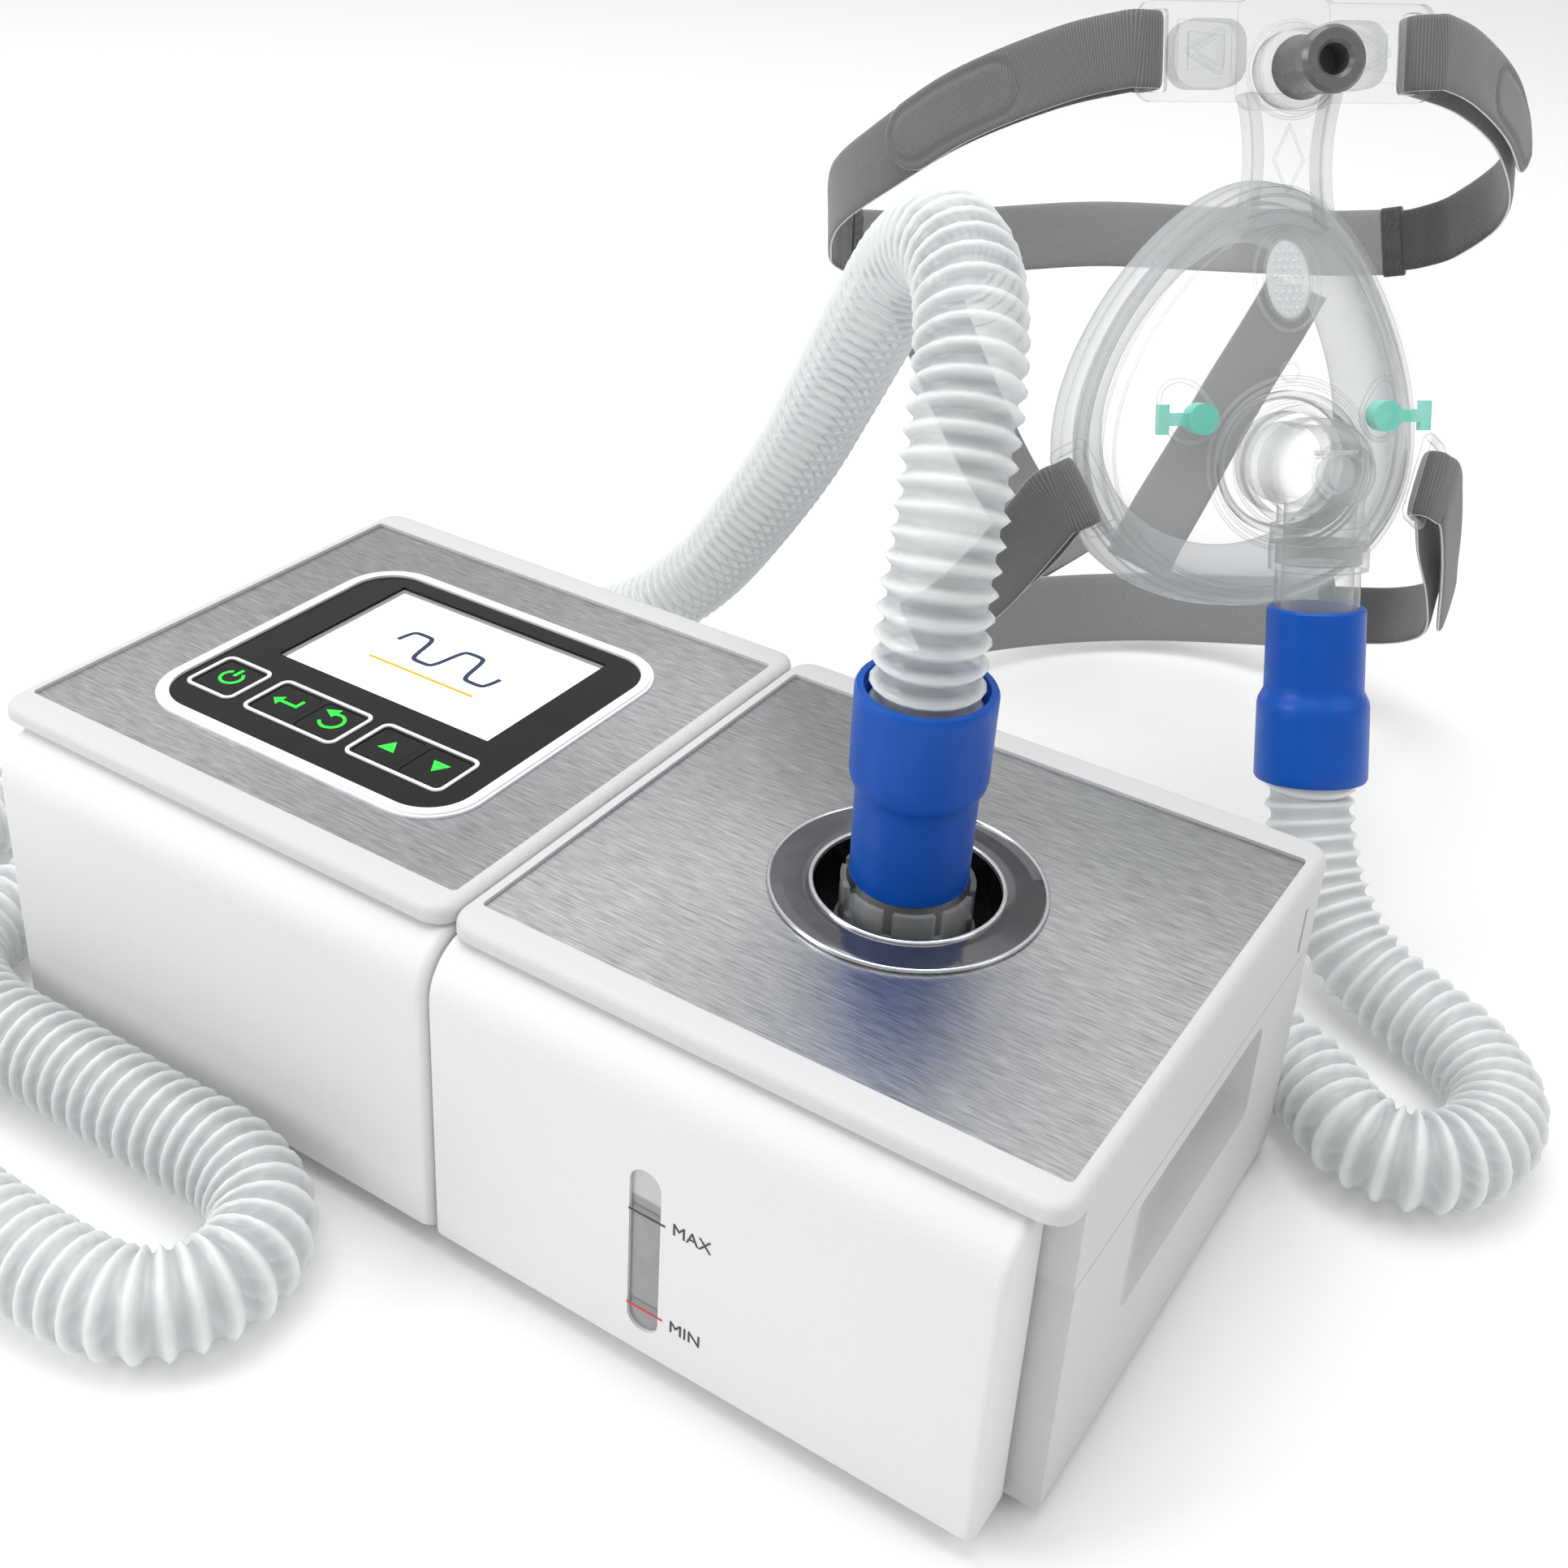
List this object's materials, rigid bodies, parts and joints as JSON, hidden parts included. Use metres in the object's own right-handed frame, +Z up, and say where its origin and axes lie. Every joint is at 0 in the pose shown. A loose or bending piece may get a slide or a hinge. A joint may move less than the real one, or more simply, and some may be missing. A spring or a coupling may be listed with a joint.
{
  "type": "bilevel ventilator with heated humidifier and mask",
  "caption": "Home ventilator with a heated humidifier, corrugated breathing hose and a clear full-face mask on fabric headgear.",
  "frame": {"origin": "centre of the two units' base, at the level of the table they stand on", "axes": "+X to the right along the front, +Y from the front panels to the back, +Z up"},
  "size_m": [0.4054, 0.5009, 0.2381],
  "materials": {
    "case_white": "fine-textured white moulding",
    "panel_white": "fine-textured white moulding",
    "brushed_top": "brushed, lines along X",
    "pearl": "pearl gloss",
    "black_gloss": "gloss",
    "screen": "backlit white",
    "key_black": "gloss with green lit signs",
    "key_line": "satin",
    "board": "green board",
    "dark_plastic": "matt",
    "steel": "plain",
    "rubber": "matt",
    "foam": "open foam",
    "clear": "clear plastic",
    "ring_chrome": "smoked chrome",
    "cuff_blue": "satin",
    "hose_clear": "translucent vinyl",
    "silicone": "translucent silicone",
    "mint": "translucent mint",
    "knob_grey": "satin",
    "strap": "knit over foam"
  },
  "bodies": {
    "unit": {"main_case": "case_white", "main_top_frame": "case_white", "main_front_panel": "panel_white", "main_plate": "brushed_top", "bezel_ring": "pearl", "display_panel": "black_gloss", "lcd_screen": "screen", "key_frames": "key_line", "main_board": "board", "blower_housing": "dark_plastic", "blower_motor": "steel", "air_duct": "dark_plastic", "filter_foam": "foam", "power_inlet": "dark_plastic", "feet": "rubber", "docking_plate": "case_white", "case_screws": "steel", "humidifier_case": "case_white", "humidifier_top_frame": "case_white", "humidifier_plate": "brushed_top", "heater_plate": "steel", "outlet_seal": "rubber", "port_ring": "ring_chrome", "port_cup": "black_gloss", "outlet_spigot": "clear", "hose": "hose_clear", "port_cuff": "cuff_blue", "mask_cuff": "cuff_blue", "elbow": "clear", "mask_frame": "clear", "mask_cushion": "silicone", "strap_upper_left": "strap", "strap_upper_right": "strap", "strap_lower_left": "strap", "strap_lower_right": "strap", "crown_strap": "strap", "crown_side_left": "strap", "crown_side_right": "strap", "neck_strap": "strap"},
    "drawer": {"drawer_front": "panel_white", "level_window": "clear", "water_tank": "clear", "tank_lid": "clear"},
    "power_key": {"key_power": "key_black"},
    "enter_key": {"key_enter": "key_black"},
    "back_key": {"key_back": "key_black"},
    "up_key": {"key_up": "key_black"},
    "down_key": {"key_down": "key_black"},
    "impeller": {"blower_impeller": "dark_plastic"},
    "filter_door": {"filter_cover": "case_white"},
    "connector": {"swivel_connector": "clear"},
    "flap": {"valve_flap": "silicone"},
    "forehead": {"forehead_bar": "clear", "forehead_pads": "silicone"},
    "knob": {"adjust_knob": "knob_grey"},
    "plug_left": {"port_plug_left": "mint"},
    "plug_right": {"port_plug_right": "mint"}
  },
  "joints": [
    {"name": "drawer_slide", "type": "slide", "parent": "unit", "child": "drawer", "axis": [0, -1, 0], "range_m": [0, 0.112]},
    {"name": "power_press", "type": "slide", "parent": "unit", "child": "power_key", "axis": [0, 0, -1], "range_m": [0, 0.0006], "stiffness_N_per_m": 900, "springref_m": -0.0003},
    {"name": "enter_press", "type": "slide", "parent": "unit", "child": "enter_key", "axis": [0, 0, -1], "range_m": [0, 0.0006], "stiffness_N_per_m": 900, "springref_m": -0.0003},
    {"name": "back_press", "type": "slide", "parent": "unit", "child": "back_key", "axis": [0, 0, -1], "range_m": [0, 0.0006], "stiffness_N_per_m": 900, "springref_m": -0.0003},
    {"name": "up_press", "type": "slide", "parent": "unit", "child": "up_key", "axis": [0, 0, -1], "range_m": [0, 0.0006], "stiffness_N_per_m": 900, "springref_m": -0.0003},
    {"name": "down_press", "type": "slide", "parent": "unit", "child": "down_key", "axis": [0, 0, -1], "range_m": [0, 0.0006], "stiffness_N_per_m": 900, "springref_m": -0.0003},
    {"name": "impeller_spin", "type": "hinge", "parent": "unit", "child": "impeller", "pos_m": [-0.078, 0.012, 0.026], "axis": [0, 0, 1], "continuous": true},
    {"name": "filter_door_hinge", "type": "hinge", "parent": "unit", "child": "filter_door", "pos_m": [-0.085, 0.07075, 0.03355], "axis": [-1, 0, 0], "range_deg": [0, 80]},
    {"name": "connector_swivel", "type": "hinge", "parent": "unit", "child": "connector", "pos_m": [0.10337, 0.16127, 0.09269], "axis": [-0.2178, 0.2419, 0.9455], "continuous": true},
    {"name": "flap_hinge", "type": "hinge", "parent": "unit", "child": "flap", "pos_m": [0.09875, 0.16639, 0.13791], "axis": [0.7431, 0.6691, 0], "range_deg": [0, 30]},
    {"name": "knob_turn", "type": "hinge", "parent": "unit", "child": "knob", "pos_m": [0.05934, 0.21016, 0.22233], "axis": [-0.6327, 0.7027, -0.3256], "range_deg": [0, 720]},
    {"name": "forehead_slide", "type": "slide", "parent": "unit", "child": "forehead", "axis": [-0.6327, 0.7027, -0.3256], "range_m": [0, 0.0045]},
    {"name": "plug_left_pull", "type": "slide", "parent": "unit", "child": "plug_left", "axis": [0.6327, -0.7027, 0.3256], "range_m": [0, 0.006]},
    {"name": "plug_right_pull", "type": "slide", "parent": "unit", "child": "plug_right", "axis": [0.6327, -0.7027, 0.3256], "range_m": [0, 0.006]}
  ],
  "couplings": [
    {"joint": "knob_turn", "follows": "forehead_slide", "rad_per_m": 2792.5}
  ]
}
